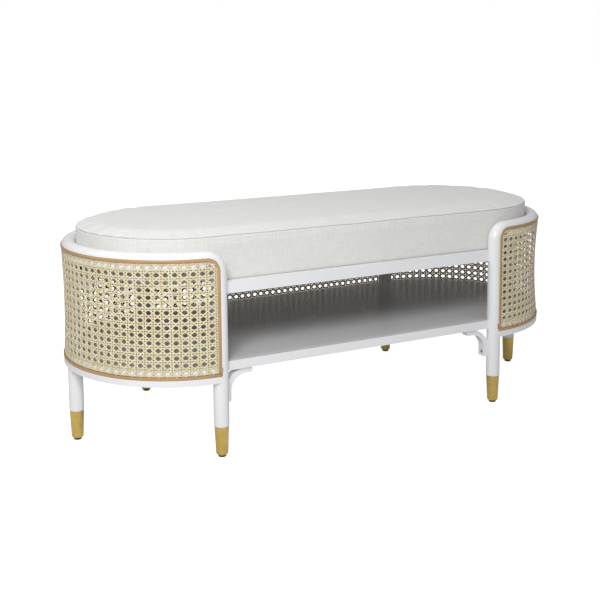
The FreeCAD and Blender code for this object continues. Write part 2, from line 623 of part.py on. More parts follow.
board_bottom = APRON_TOP + HEM
inside_r = SEAT_R - FABRIC
cover = capsule(SEAT_R, APRON_TOP, SEAT_TOP)
cover = cover.makeFillet(SEAT_ROUND, [e for e in cover.Edges if abs(e.CenterOfMass.z - SEAT_TOP) < 0.01])
filling = capsule(inside_r, board_bottom, SEAT_TOP - FABRIC)
filling = filling.makeFillet(SEAT_ROUND - FABRIC, [
    e for e in filling.Edges if abs(e.CenterOfMass.z - (SEAT_TOP - FABRIC)) < 0.01
])
board = capsule(inside_r, board_bottom, BOARD_TOP)
nodes["seat_cover"] = cover.cut(filling).cut(capsule(HEM_IN, APRON_TOP, board_bottom))
nodes["seat_foam"] = filling.cut(board)
nodes["seat_board"] = bored(board, "seat_screws")
nodes["dust_cover"] = bored(capsule(HEM_IN, APRON_TOP, board_bottom), "seat_screws")

# ---------------------------------------------------------------- export

os.makedirs("parts", exist_ok=True)
for name, shape in nodes.items():
    volume = sum(s.Volume for s in shape.Solids) / 1000
    print(f"{name:28s} solids {len(shape.Solids):2d} volume {volume:9.2f} cm3 valid {shape.isValid()}")
    shape.exportStep("parts/" + name + ".step")
print(len(nodes), "nodes")
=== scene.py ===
"""Looks of a capsule-shaped bench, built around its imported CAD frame: woven cane, rattan splines,
a linen box cushion, white lacquer and satin brass. Metres, +Z up, the open front faces -Y."""

import json
import math
import random

import bpy
import numpy as np
from mathutils import Matrix, Vector


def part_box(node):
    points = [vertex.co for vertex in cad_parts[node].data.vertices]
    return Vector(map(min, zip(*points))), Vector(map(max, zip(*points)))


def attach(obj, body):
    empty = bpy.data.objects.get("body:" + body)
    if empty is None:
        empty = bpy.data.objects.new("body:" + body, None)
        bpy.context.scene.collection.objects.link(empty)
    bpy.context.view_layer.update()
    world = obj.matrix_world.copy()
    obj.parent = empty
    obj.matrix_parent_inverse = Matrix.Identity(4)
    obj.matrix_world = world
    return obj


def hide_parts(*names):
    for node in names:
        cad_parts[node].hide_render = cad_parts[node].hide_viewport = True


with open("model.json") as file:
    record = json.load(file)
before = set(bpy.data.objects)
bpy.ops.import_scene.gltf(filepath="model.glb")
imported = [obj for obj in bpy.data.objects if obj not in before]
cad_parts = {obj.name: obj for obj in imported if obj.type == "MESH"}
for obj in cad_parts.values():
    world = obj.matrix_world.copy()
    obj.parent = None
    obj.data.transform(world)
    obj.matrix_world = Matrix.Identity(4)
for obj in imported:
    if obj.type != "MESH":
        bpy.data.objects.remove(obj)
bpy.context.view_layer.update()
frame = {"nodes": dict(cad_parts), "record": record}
rng = random.Random(7)
MM = 0.001

# ---------------------------------------------------------------- places, all from the frame

leg_low, leg_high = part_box("glide_pad_front_right")
HALF = (leg_low.x + leg_high.x) / 2              # half the straight length of the capsule plan
cane_low, cane_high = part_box("cane_back")
CANE_R = (cane_low.y + cane_high.y) / 2 + 0.1 * MM   # radius of the webbing round the ends
CANE_BOTTOM, CANE_TOP = cane_low.z, cane_high.z
upright_low, upright_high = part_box("cane_splines_back")
SPLINE_W = 2 * (upright_high.x - HALF)
seat_low, seat_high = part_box("seat_cover")
band_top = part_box("lower_rail_back")[1].z
pole_low, pole_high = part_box("top_pole_back")
POLE_Z = (pole_low.z + pole_high.z) / 2
POLE_R = (pole_high.z - pole_low.z) / 2
QUARTER = math.pi * CANE_R / 2                   # from a front or back leg to the end post
FRONT_LEG = HALF + 2 * QUARTER                   # a front leg's middle, along the outline
FRONT_EDGE = FRONT_LEG - 9.7 * MM                # the webbing's edge beside it


def on_capsule(along, height, out):
    """Points from a distance along the plan's outline, 0 in the middle of the back and positive to
    the right, a height, and a distance out from the line between the ends' centres."""
    turn = np.clip((np.abs(along) - HALF) / CANE_R, 0, math.pi)
    x = np.sign(along) * (np.minimum(np.abs(along), HALF) + out * np.sin(turn))
    return np.stack([x, out * np.cos(turn), height + 0 * x], axis=-1)


def new_piece(name, verts, faces, material, body="frame"):
    """A mesh piece that rides a body, smooth but for its end caps, which have over four corners."""
    mesh = bpy.data.meshes.new(name)
    mesh.from_pydata(np.asarray(verts).tolist(), [], [list(map(int, face)) for face in faces])
    mesh.materials.append(material)
    mesh.polygons.foreach_set("use_smooth", [len(face) < 5 for face in faces])
    piece = bpy.data.objects.new(name, mesh)
    bpy.context.scene.collection.objects.link(piece)
    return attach(piece, body)


def set_uv(mesh, name, corner_uv):
    """Adds a UV layer, in metres, with one row for each corner of each face."""
    layer = mesh.uv_layers.new(name=name)
    layer.data.foreach_set("uv", np.asarray(corner_uv, np.float32).ravel())


# ---------------------------------------------------------------- materials

WAVE_BAND = 2 * math.pi / 20                     # one band of a wave texture at scale 1
LINEN_THREAD = 0.9 * MM


class Shader:
    """A node material being put together around its Principled shader."""

    def __init__(self, name, color, roughness, **sockets):
        self.material = bpy.data.materials.new(name)
        self.material.use_nodes = True
        self.material.diffuse_color = (*color, 1)
        self.tree = self.material.node_tree
        self.main = self.tree.nodes["Principled BSDF"]
        self.main.inputs["Base Color"].default_value = (*color, 1)
        self.main.inputs["Roughness"].default_value = roughness
        for socket, value in sockets.items():
            self.main.inputs[socket.replace("_", " ")].default_value = value

    def node(self, kind, links=(), **sockets):
        """Adds a node; links pairs input sockets with outputs, and sockets sets input values."""
        made = self.tree.nodes.new("ShaderNode" + kind)
        for socket, value in sockets.items():
            made.inputs[socket.replace("_", " ")].default_value = value
        for socket, output in links:
            self.tree.links.new(output, made.inputs[socket])
        return made

    def plug(self, socket, output):
        self.tree.links.new(output, self.main.inputs[socket])

    def place(self, scale, uv=None):
        """Object or UV coordinates, scaled per axis, in cycles per metre."""
        if uv:
            source = self.node("UVMap")
            source.uv_map = uv
            output = source.outputs["UV"]
        else:
            output = self.node("TexCoord").outputs["Object"]
        mapping = self.node("Mapping", [("Vector", output)])
        mapping.inputs["Scale"].default_value = scale
        return mapping.outputs["Vector"]

    def noise(self, vector, detail=2.0, roughness=0.5, distortion=0.0):
        made = self.node("TexNoise", [("Vector", vector)], Scale=1.0, Detail=detail,
                         Roughness=roughness, Distortion=distortion)
        return made.outputs["Fac"]

    def bands(self, vector, axis, distortion=0.0):
        made = self.node("TexWave", [("Vector", vector)], Scale=1.0, Distortion=distortion, Detail=1.0)
        made.bands_direction = axis
        return made.outputs["Fac"]

    def ramp(self, factor, stops):
        made = self.node("ValToRGB", [("Fac", factor)])
        elements = made.color_ramp.elements
        while len(elements) < len(stops):
            elements.new(0.5)
        for element, (position, color) in zip(elements, stops):
            element.position = position
            element.color = (*color, 1) if hasattr(color, "__len__") else (color, color, color, 1)
        return made.outputs["Color"]

    def span(self, factor, low, high):
        """A value from 0 to 1 spread between low and high."""
        return self.node("MapRange", [("Value", factor)], To_Min=low, To_Max=high).outputs["Result"]

    def calc(self, first, second, how="ADD"):
        """A sum, or another operation of the Math node, of an output and an output or number."""
        made = self.node("Math")
        made.operation = how
        self.tree.links.new(first, made.inputs[0])
        if hasattr(second, "node"):
            self.tree.links.new(second, made.inputs[1])
        else:
            made.inputs[1].default_value = second
        return made.outputs["Value"]

    def tint(self, color, factor, how="MULTIPLY", amount=1.0):
        """A colour changed by another, such as multiplied by a grey pattern."""
        made = self.node("Mix")
        made.data_type = "RGBA"
        made.blend_type = how
        made.inputs["Factor"].default_value = amount
        self.tree.links.new(color, made.inputs[6])
        self.tree.links.new(factor, made.inputs[7])
        return made.outputs[2]

    def bump(self, height, distance, strength=1.0):
        made = self.node("Bump", [("Height", height)], Distance=distance, Strength=strength)
        self.plug("Normal", made.outputs["Normal"])


def lacquer(name, tone, coat, coat_roughness):
    """White lacquer with a faint sprayed texture, as bright as tone."""
    made = Shader(name, (tone, tone * 1.006, tone * 1.022), 0.34, Coat_Weight=coat,
                  Coat_Roughness=coat_roughness)
    broad = made.noise(made.place((9, 9, 9)), detail=3)
    made.plug("Base Color", made.ramp(broad, [(0.3, (tone * 0.985, tone * 0.99, tone * 1.006)),
                                              (0.7, (tone * 1.012, tone * 1.018, tone * 1.034))]))
    fine = made.noise(made.place((420, 420, 420)), detail=3)
    made.plug("Roughness", made.span(broad, 0.29, 0.39))
    made.bump(fine, 0.05 * MM, 0.5)
    return made.material


def cane_pith_shaded():
    """The strands' inner side: matt golden pith, also painted darker and browner than the skin as shade on
    the webbing's inward face.
    """
    made = Shader("cane_pith_shaded", (0.6, 0.4, 0.13), 0.8)
    streaks = made.noise(made.place((60, 2500, 1), "strand"), detail=3)
    made.plug("Base Color", made.ramp(streaks, [(0.3, (0.5, 0.32, 0.09)), (0.7, (0.7, 0.48, 0.17))]))
    made.plug("Roughness", made.span(streaks, 0.65, 0.85))
    made.bump(streaks, 0.05 * MM)
    return made.material


def cane():
    """Rattan skin: glossy pale straw, with fine streaks along each strand and darker joints."""
    made = Shader("natural_cane", (0.72, 0.6, 0.36), 0.42, Coat_Weight=0.2, Coat_Roughness=0.3)
    tone = made.node("Attribute")
    tone.attribute_name = "tone"
    streaks = made.noise(made.place((60, 2500, 1), "strand"), detail=3)
    joints = made.noise(made.place((45, 0, 1), "strand"), detail=1)
    straw = made.ramp(tone.outputs["Fac"], [(0.0, (0.66, 0.52, 0.27)), (0.35, (0.8, 0.685, 0.42)),
                                           (0.8, (0.9, 0.81, 0.56)), (1.0, (0.94, 0.875, 0.68))])
    streaked = made.tint(straw, made.ramp(streaks, [(0.25, 0.82), (0.75, 1.0)]))
    joint = made.ramp(joints, [(0.66, (1.0, 1.0, 1.0)), (0.76, (0.84, 0.6, 0.34))])
    made.plug("Base Color", made.tint(streaked, joint))
    made.plug("Roughness", made.span(streaks, 0.34, 0.52))
    made.bump(streaks, 0.04 * MM)
    return made.material


def rattan():
    """The splines: tan rattan core with grain along the strip."""
    made = Shader("rattan_spline", (0.45, 0.25, 0.1), 0.5)
    grain = made.noise(made.place((14, 1700, 1), "strand"), detail=4, roughness=0.6)
    patches = made.noise(made.place((9, 60, 1), "strand"), detail=2)
    core = made.ramp(grain, [(0.25, (0.39, 0.21, 0.085)), (0.5, (0.54, 0.32, 0.15)),
                             (0.8, (0.64, 0.41, 0.21))])
    made.plug("Base Color", made.tint(core, made.ramp(patches, [(0.3, 0.86), (0.7, 1.0)])))
    made.plug("Roughness", made.span(grain, 0.6, 0.42))
    made.bump(grain, 0.08 * MM)
    return made.material


def linen():
    """Off-white slub linen: a plain weave with some threads thicker or greyer, with painted shade darkening
    the seam's groove and the cushion's foot.
    """
    made = Shader("linen", (0.74, 0.73, 0.7), 0.92, Sheen_Weight=0.25, Sheen_Roughness=0.5)
    threads = WAVE_BAND / LINEN_THREAD
    warp = made.bands(made.place((threads, threads, 1), "cloth"), "X", distortion=0.6)
    weft = made.bands(made.place((threads, threads, 1), "cloth"), "Y", distortion=0.6)
    slub_x = made.noise(made.place((28, 520, 1), "cloth"), detail=3, roughness=0.65)
    slub_y = made.noise(made.place((520, 28, 1), "cloth"), detail=3, roughness=0.65)
    slubs = made.calc(slub_x, slub_y)
    weave = made.calc(warp, weft)
    cloudy = made.noise(made.place((11, 11, 1), "cloth"), detail=3)
    yarn = made.ramp(made.calc(slubs, 0.5, "MULTIPLY"), [(0.34, (0.70, 0.695, 0.67)),
                                                        (0.5, (0.78, 0.775, 0.75)),
                                                        (0.66, (0.84, 0.837, 0.82))])
    worn = made.tint(yarn, made.ramp(cloudy, [(0.3, 0.965), (0.7, 1.0)]))
    # painted shade: the seam attribute greys the linen in the seam's groove and along the cushion's foot,
    # where shade falls
    seam = made.node("Attribute")
    seam.attribute_name = "seam"
    seam_shade_tint = made.ramp(seam.outputs["Fac"], [(0.0, 1.0), (1.0, (0.62, 0.62, 0.63))])
    made.plug("Base Color", made.tint(worn, seam_shade_tint))
    height = made.calc(made.calc(weave, 0.5, "MULTIPLY"), made.calc(slubs, 1.2, "MULTIPLY"))
    made.bump(height, 0.16 * MM, 0.7)
    return made.material


def brass():
    """Satin brass, brushed round the ferrule."""
    made = Shader("brass", (0.8, 0.58, 0.2), 0.33, Metallic=1.0)
    brushed = made.noise(made.place((60, 60, 2600)), detail=3)
    patches = made.noise(made.place((70, 70, 45)), detail=2)
    made.plug("Base Color", made.ramp(patches, [(0.3, (0.72, 0.5, 0.14)), (0.7, (0.84, 0.61, 0.2))]))
    made.plug("Roughness", made.span(brushed, 0.27, 0.42))
    made.bump(brushed, 0.02 * MM, 0.6)
    return made.material


def steel():
    """Zinc-plated steel."""
    made = Shader("zinc_steel", (0.6, 0.6, 0.58), 0.38, Metallic=1.0)
    patches = made.noise(made.place((300, 300, 300)), detail=3)
    made.plug("Base Color", made.ramp(patches, [(0.3, (0.5, 0.5, 0.49)), (0.7, (0.66, 0.66, 0.63))]))
    made.plug("Roughness", made.span(patches, 0.3, 0.5))
    return made.material


def nylon():
    """Black moulded nylon."""
    made = Shader("black_nylon", (0.018, 0.018, 0.019), 0.5)
    grain = made.noise(made.place((900, 900, 900)), detail=2)
    made.plug("Base Color", made.ramp(grain, [(0.3, 0.013), (0.7, 0.024)]))
    made.plug("Roughness", made.span(grain, 0.42, 0.6))
    made.bump(grain, 0.04 * MM)
    return made.material


def cambric():
    """Black non-woven dust cover with its embossed dots."""
    made = Shader("black_cambric", (0.03, 0.03, 0.032), 0.95)
    dots = made.node("TexVoronoi", [("Vector", made.place((650, 650, 650)))], Scale=1.0, Randomness=0.25)
    made.plug("Base Color", made.ramp(dots.outputs["Distance"], [(0.2, 0.018), (0.5, 0.04)]))
    made.bump(dots.outputs["Distance"], 0.1 * MM)
    return made.material


def foam():
    """Cream upholstery foam with open cells."""
    made = Shader("foam", (0.78, 0.71, 0.5), 0.95)
    cells = made.node("TexVoronoi", [("Vector", made.place((700, 700, 700)))], Scale=1.0)
    made.plug("Base Color", made.ramp(cells.outputs["Distance"], [(0.1, (0.66, 0.58, 0.38)),
                                                                  (0.6, (0.8, 0.73, 0.53))]))
    made.bump(cells.outputs["Distance"], 0.3 * MM)
    return made.material


def wood(name, dark, light, scale):
    """Bare wood with its grain across the largest of the three scales."""
    made = Shader(name, light, 0.62)
    grain = made.noise(made.place(scale), detail=4, roughness=0.6, distortion=0.4)
    made.plug("Base Color", made.ramp(grain, [(0.3, dark), (0.7, light)]))
    made.plug("Roughness", made.span(grain, 0.7, 0.55))
    made.bump(grain, 0.06 * MM)
    return made.material


materials = {
    "white_lacquer": lacquer("white_lacquer", 0.84, 0.25, 0.2),
    "natural_cane": cane(),
    "cane_pith_shaded": cane_pith_shaded(),
    "rattan_spline": rattan(),
    "linen": linen(),
    "foam": foam(),
    "plywood": wood("plywood", (0.44, 0.29, 0.14), (0.62, 0.45, 0.26), (9, 90, 700)),
    "black_cambric": cambric(),
    "beech": wood("beech", (0.52, 0.33, 0.17), (0.66, 0.46, 0.27), (500, 500, 40)),
    "zinc_steel": steel(),
    "brass": brass(),
    "black_nylon": nylon(),
}
for part in frame["record"]["subparts"]:
    carried = frame["nodes"][part["node"]]
    carried.data.materials.clear()
    carried.data.materials.append(materials[part["material_slot"]])
shelf = frame["nodes"]["shelf_board"]               # the same lacquer, with more of its gloss coat
shelf.data.materials[0] = lacquer("satin_shelf", 0.84, 0.6, 0.2)

# ---------------------------------------------------------------- woven cane

PITCH = 15.7 * MM                    # from hole to hole up the webbing, about 5/8 in
END_STRETCH, BACK_STRETCH = 1.19, 1.13   # how much further apart the holes are along the outline
PAIR = 2.3 * MM / PITCH              # half the spread of a pair of strands, in pitches
PAIR_W, DIAGONAL_W = 2.9 * MM, 3.5 * MM          # widths of the strands
STRAND_T = 0.42 * MM                 # and their thickness
UNDER = 1.5 * MM                     # how far the strands run on beneath the splines
FIRST_HOLE = 12.2 * MM               # first column of holes, from the front leg's spline
SPLINE_BEND = 22.5 * MM              # the webbing's rounded corner under the front elbow
BOW, POST_BOW = 4.6 * MM, 1.8 * MM   # how far the webbing is drawn in between posts, and at one
ACROSS = np.array([-0.5, -0.24, 0.24, 0.5])      # a strand's section, flat below and crowned above:
ABOVE = np.array([0.0, 1.0, 1.0, 0.0])           # across it in widths, and out in thicknesses


def bow(along, height):
    """The webbing's inward curve: none at its edges and on the flat back, some on the end posts."""
    turn = np.clip((np.abs(along) - HALF) / QUARTER, 0, 2)
    span = BOW * np.abs(np.sin(math.pi * turn)) ** 1.5 + POST_BOW * (1 - np.abs(turn - 1))
    pole_bottom = POLE_Z - 0.62 * POLE_R
    rise = np.clip((height - band_top) / (pole_bottom - band_top), 0, 1)
    return span * 4 * rise * (1 - rise)


class Panel:
    """One panel of webbing between two places along the outline. lattice is where a pair of upright
    strands stands, stretch widens the weave along the outline, and corner is the place along of a
    rounded upper corner, with 1 or -1 for the panel's side of it."""

    def __init__(self, start, end, lattice, stretch, corner=None):
        self.start, self.end, self.lattice, self.corner = start - UNDER, end + UNDER, lattice, corner
        self.stretch = stretch
        self.bottom, self.top = CANE_BOTTOM - UNDER, CANE_TOP + UNDER
        rows = round((CANE_TOP - CANE_BOTTOM) / PITCH)
        self.first_pair = (CANE_BOTTOM + CANE_TOP - rows * PITCH) / 2
        self.verts, self.faces, self.uvs, self.tones, self.inner = [], [], [], [], []
        self.strands = 0

    def holds(self, along, height):
        """Whether a place lies in the panel."""
        if not (self.start <= along <= self.end and self.bottom <= height <= self.top):
            return False
        if self.corner is None:
            return True
        edge, inward = self.corner
        sideways = SPLINE_BEND - (along - edge) * inward
        upwards = height - (self.top - SPLINE_BEND)
        return sideways < 0 or upwards < 0 or math.hypot(sideways, upwards) < SPLINE_BEND

    def limit(self, at, inside, outside):
        """Where, between two values of a line's parameter, the line leaves the panel."""
        for _ in range(24):
            middle = (inside + outside) / 2
            if self.holds(*at(middle)):
                inside = middle
            else:
                outside = middle
        return inside

    def weave(self, at, level, width):
        """Adds a strand along the line at(t), in pitches, with its height out of the panel level(t)."""
        steps = [k + f for k in range(self.low, self.high) for f in (-PAIR, PAIR, 0.5 - PAIR, 0.5 + PAIR)]
        inside = [t for t in steps if self.holds(*at(t))]
        if not inside:
            return
        first, last = (self.limit(at, inside[0], inside[0] - 1), self.limit(at, inside[-1], inside[-1] + 1))
        inside = [first] + [t for t in inside if first + 0.05 < t < last - 0.05] + [last]
        t = np.array(inside)
        line = np.array([at(v) for v in inside])
        direction = (line[-1] - line[0]) / np.linalg.norm(line[-1] - line[0])
        side = np.array([-direction[1], direction[0]])
        phase, drift = rng.uniform(0, 6.28), rng.uniform(-0.14, 0.14) * MM
        sway = drift + 0.13 * MM * np.sin(t * 0.9 + phase)
        width *= rng.uniform(0.9, 1.08)
        offset = sway[:, None] + ACROSS * width
        along = line[:, 0:1] + side[0] * offset
        height = line[:, 1:2] + side[1] * offset
        lift = np.array([level(v) for v in inside])[:, None] + ABOVE * STRAND_T
        self.add(along, height, CANE_R - bow(along, height) + lift, rng.betavariate(4, 2.6), t * PITCH)

    def add(self, along, height, out, tone, length):
        """Adds the faces of one strand, from its points' sections and its length to each of them."""
        count, sides = along.shape
        base = sum(len(v) for v in self.verts)
        self.verts.append(on_capsule(along, height, out).reshape(-1, 3))
        self.tones.append(np.full(count * sides, tone))
        index = base + np.arange(count * sides).reshape(count, sides)
        after = np.roll(index, -1, axis=1)
        quads = np.stack([index[:-1], after[:-1], after[1:], index[1:]], axis=-1).reshape(-1, 4)
        caps = np.array([index[0, ::-1], index[-1]])
        self.faces.append(np.concatenate([quads, caps]))
        self.inner.append(np.append(np.arange(len(quads)) % sides == sides - 1, [False, False]))
        self.strands += 1
        u = np.repeat(length + self.strands * 0.37, sides).reshape(count, sides)
        v = np.tile(ABOVE * 0.4 * MM + ACROSS * 2 * MM, (count, 1))
        uv = np.stack([u, v], axis=-1).reshape(-1, 2)
        self.uvs.append(uv[self.faces[-1] - base].reshape(-1, 2))

    def build(self, name, node):
        """Weaves the panel and makes it a piece in place of a node."""
        span = (self.end - self.start) / PITCH
        rows = (self.top - self.bottom) / PITCH
        self.low, self.high = int(-span - rows) - 3, int(span + rows) + 3

        def spot(u, v):
            return self.lattice + u * PITCH * self.stretch, self.first_pair + v * PITCH

        pair_lift, diagonal_lift = STRAND_T / 2, STRAND_T

        def crossing(t, index):
            """Level of a paired strand at t: over and under the strands it crosses in turn."""
            nearest = round(t)
            if abs(t - nearest) > 0.3:
                return 0.0
            other = 2 * nearest + (t > nearest)
            return pair_lift if (other + index) % 2 else -pair_lift

        def diagonal(t, sign):
            return sign * diagonal_lift * (1 if abs(t - round(t)) < 0.25 else -1)

        for k in range(self.low, self.high):
            for edge in (0, 1):
                shift = k + (PAIR if edge else -PAIR)
                index = 2 * k + edge
                self.weave(lambda t: spot(shift, t), lambda t: crossing(t, index), PAIR_W)
                self.weave(lambda t: spot(t, shift), lambda t: crossing(t, index + 1), PAIR_W)
            self.weave(lambda t: spot(t, t - k - 0.5), lambda t: diagonal(t, 1), DIAGONAL_W)
            self.weave(lambda t: spot(t, k + 0.5 - t), lambda t: diagonal(t, -1), DIAGONAL_W)
        piece = new_piece(name, np.concatenate(self.verts), np.concatenate(self.faces),
                          materials["natural_cane"])
        # the strands' undersides take the pith material, which is real matt pith painted darker as shade for
        # the webbing's inward face
        piece.data.materials.append(materials["cane_pith_shaded"])
        piece.data.polygons.foreach_set("material_index", np.concatenate(self.inner))
        set_uv(piece.data, "strand", np.concatenate(self.uvs))
        tone = piece.data.attributes.new("tone", "FLOAT", "POINT")
        tone.data.foreach_set("value", np.concatenate(self.tones).astype(np.float32))
        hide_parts(node)
        return piece


first_pair = FRONT_EDGE - FIRST_HOLE + END_STRETCH * PITCH / 2
back_edge = HALF + SPLINE_W / 2
Panel(back_edge, FRONT_EDGE, first_pair, END_STRETCH,
      (FRONT_EDGE + UNDER, -1)).build("cane_weave_right", "cane_right")
Panel(-FRONT_EDGE, -back_edge, -first_pair, END_STRETCH,
      (-FRONT_EDGE - UNDER, 1)).build("cane_weave_left", "cane_left")
Panel(-HALF + SPLINE_W / 2, HALF - SPLINE_W / 2, 0.0, BACK_STRETCH).build("cane_weave_back", "cane_back")

# ---------------------------------------------------------------- rattan splines

UPRIGHT = FRONT_LEG - 6.2 * MM                   # a front upright spline's middle, along the outline
SPLINE_UPPER_W = 6.4 * MM
SPLINE_BOTTOM, SPLINE_TOP = CANE_BOTTOM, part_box("cane_spline_upper")[1].z
STRIP = np.array([[-0.5, -1.6], [-0.5, -0.5], [-0.4, 0.1], [-0.16, 0.5], [0.16, 0.5], [0.4, 0.1],
                  [0.5, -0.5], [0.5, -1.6]]) * [1, MM]        # across in widths, out in metres


def strip(line, out, width, grain_start):
    """Sweeps a crowned strip along a line of (along, height) points lying out from the centres."""
    line, out = np.asarray(line), np.broadcast_to(out, len(line))
    heading = np.gradient(line, axis=0)
    heading /= np.linalg.norm(heading, axis=1)[:, None]
    side = np.stack([-heading[:, 1], heading[:, 0]], axis=1)
    along = line[:, 0:1] + side[:, 0:1] * STRIP[:, 0] * width
    height = line[:, 1:2] + side[:, 1:2] * STRIP[:, 0] * width
    verts = on_capsule(along, height, out[:, None] + STRIP[:, 1])
    walked = grain_start + np.append(0, np.cumsum(np.linalg.norm(np.diff(line, axis=0), axis=1)))
    count, sides = along.shape
    index = np.arange(count * sides).reshape(count, sides)
    after = np.roll(index, -1, axis=1)
    quads = np.stack([index[:-1], after[:-1], after[1:], index[1:]], axis=-1).reshape(-1, 4)
    u = np.repeat(walked, sides)
    v = np.tile(STRIP[:, 0] * width, count)
    return verts.reshape(-1, 3), quads, np.stack([u, v], axis=-1)


def spline_piece(name, strips, node):
    """Makes strips one piece in place of a node."""
    verts, faces, uvs, base = [], [], [], 0
    for strip_verts, quads, uv in strips:
        verts.append(strip_verts)
        faces += (quads + base).tolist()
        sides = len(STRIP)
        faces += [list(range(base + sides - 1, base - 1, -1)),
                  list(range(base + len(strip_verts) - sides, base + len(strip_verts)))]
        uvs.append(uv)
        base += len(strip_verts)
    uvs = np.concatenate(uvs)
    piece = new_piece(name, np.concatenate(verts), faces, materials["rattan_spline"])
    set_uv(piece.data, "strand", uvs[[v for f in faces for v in f]])
    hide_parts(node)
    return piece


def upper_line():
    """A line up a front leg, round its elbow and along the top pole to the middle of the back, and
    how far out it lies."""
    bend, top = SPLINE_BEND + 2 * MM, SPLINE_TOP - 3.5 * MM
    rise = [(UPRIGHT, z) for z in np.arange(SPLINE_BOTTOM, top - bend, 6 * MM)]
    turn = [(UPRIGHT - bend * (1 - math.cos(a)), top - bend + bend * math.sin(a))
            for a in np.linspace(0, math.pi / 2, 14)]
    run = [(a, top) for a in np.linspace(UPRIGHT - bend, 0, 150)[1:]]
    line = np.array(rise + turn + run)
    lift = np.clip((line[:, 1] - (top - bend)) / bend, 0, 1)
    return line, (1 - lift) * (CANE_R + 2.6 * MM) + lift * (CANE_R + 1.9 * MM)


half_line, half_out = upper_line()
upper = np.concatenate([half_line, half_line[-2::-1] * [-1, 1]])
upper_out = np.concatenate([half_out, half_out[-2::-1]])
spline_piece("spline_upper", [strip(upper, upper_out, SPLINE_UPPER_W, 0)], "cane_spline_upper")
lower_low, lower_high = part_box("cane_spline_lower")
lower_end = UPRIGHT + 3.4 * MM
lower = [(a, (lower_low.z + lower_high.z) / 2) for a in np.linspace(lower_end, -lower_end, 380)]
spline_piece("spline_lower", [strip(lower, lower_high.y - 0.4 * MM, lower_high.z - lower_low.z, 3.1)],
             "cane_spline_lower")
post_line = [(HALF, z) for z in np.linspace(SPLINE_BOTTOM, CANE_TOP + 0.2 * MM, 40)]
spline_piece("splines_back", [strip(post_line, upright_high.y - 0.2 * MM, SPLINE_W, 5.3),
                              strip(np.array(post_line) * [-1, 1], upright_high.y - 0.2 * MM, SPLINE_W, 6.1)],
             "cane_splines_back")

# ---------------------------------------------------------------- linen cushion

SEAT_R = seat_high.y                             # radius of the cushion's rounded ends
OUTLINE = 4 * HALF + 2 * math.pi * SEAT_R        # distance round it
SEAM_Z = seat_low.z + 92 * MM
STRAIGHT, ROUND = 44, 44                         # simulated columns along a side and round an end
SPLIT = 4                                        # fine columns for each of them
GIVE = 6.5 * MM                                  # the furthest that the cover may swell
WELD = 0.001 * MM                                # points within this are one


def seat_columns():
    """The cushion's columns round its outline: where each starts along the middle line, which way
    it points and how far round it is."""
    side = np.linspace(-HALF, HALF, STRAIGHT, endpoint=False)
    turn = np.linspace(0, math.pi, ROUND, endpoint=False)
    spine = np.concatenate([side, np.full(ROUND, HALF), -side, np.full(ROUND, -HALF)])
    angle = np.concatenate([np.full(STRAIGHT, 0.0), turn, np.full(STRAIGHT, math.pi), math.pi + turn])
    pointing = np.stack([np.sin(angle), -np.cos(angle)], axis=1)
    far_side = 2 * HALF + math.pi * SEAT_R
    round_way = np.concatenate([side + HALF, 2 * HALF + SEAT_R * turn, far_side + HALF + side,
                                far_side + 2 * HALF + SEAT_R * turn])
    return spine, pointing, round_way


def seat_profile():
    """Rows of the cushion from the middle of its underside to the middle of its top: distance out,
    height, share of the seam's wandering and how firmly the row is held; also the seam's row."""
    base, face = seat_low.z + 0.1 * MM, SEAT_R - 0.6 * MM
    rows = [(r, base, 0, 1) for r in np.linspace(0, SEAT_R - 8 * MM, 7)] + [(SEAT_R - 1.4 * MM, base, 0, 1)]
    rows += [(face, z, 0, 0.9 if z < seat_low.z + 6 * MM else 0)
             for z in np.linspace(seat_low.z + 1.6 * MM, SEAM_Z - 9 * MM, 10)]
    seam_row = len(rows)
    rows += [(face - 0.2 * MM, SEAM_Z, 1, 0.7), (face - 2.2 * MM, SEAM_Z + 3.4 * MM, 0.8, 0),
             (face - 7 * MM, SEAM_Z + 5.6 * MM, 0.4, 0), (face - 13 * MM, SEAM_Z + 6.2 * MM, 0, 0)]
    rows += [(r, SEAM_Z + 6.2 * MM, 0, 0) for r in np.linspace(SEAT_R - 26 * MM, 0, 18)]
    return np.array(rows), seam_row


def waves(at, lengths, size):
    """A smooth closed wandering along the cushion's outline, made of waves of these lengths."""
    return sum(size * rng.uniform(0.5, 1) * np.sin(2 * math.pi * round(OUTLINE / length) * at / OUTLINE
                                                   + rng.uniform(0, 6.28)) for length in lengths)


def cover_grid(profile, wander, spine, pointing):
    """Points of the cover for rows of the profile and columns round the outline."""
    out, height, share = profile[:, :3].T[:, :, None]
    return np.stack([spine + out * pointing[:, 0], out * pointing[:, 1] + 0 * spine,
                     height + share * wander], axis=-1)


def welded_faces(points):
    """Quads of a grid closed round its columns, with points that lie together made one."""
    rows, columns = points.shape[:2]
    keys = np.round(points.reshape(-1, 3) / WELD).astype(np.int64)
    _, first, same = np.unique(keys, axis=0, return_index=True, return_inverse=True)
    index = first[same.ravel()].reshape(rows, columns)
    after = np.roll(index, -1, axis=1)
    return index, np.stack([index[:-1], after[:-1], after[1:], index[1:]], axis=-1)


def compact(points, faces):
    """The points in use, the faces without repeated corners, and the points' old numbers."""
    kept = sorted({int(v) for face in faces for v in face})
    number = {old: new for new, old in enumerate(kept)}
    clean = [list(dict.fromkeys(number[int(v)] for v in face)) for face in faces]
    return points[kept], clean, kept


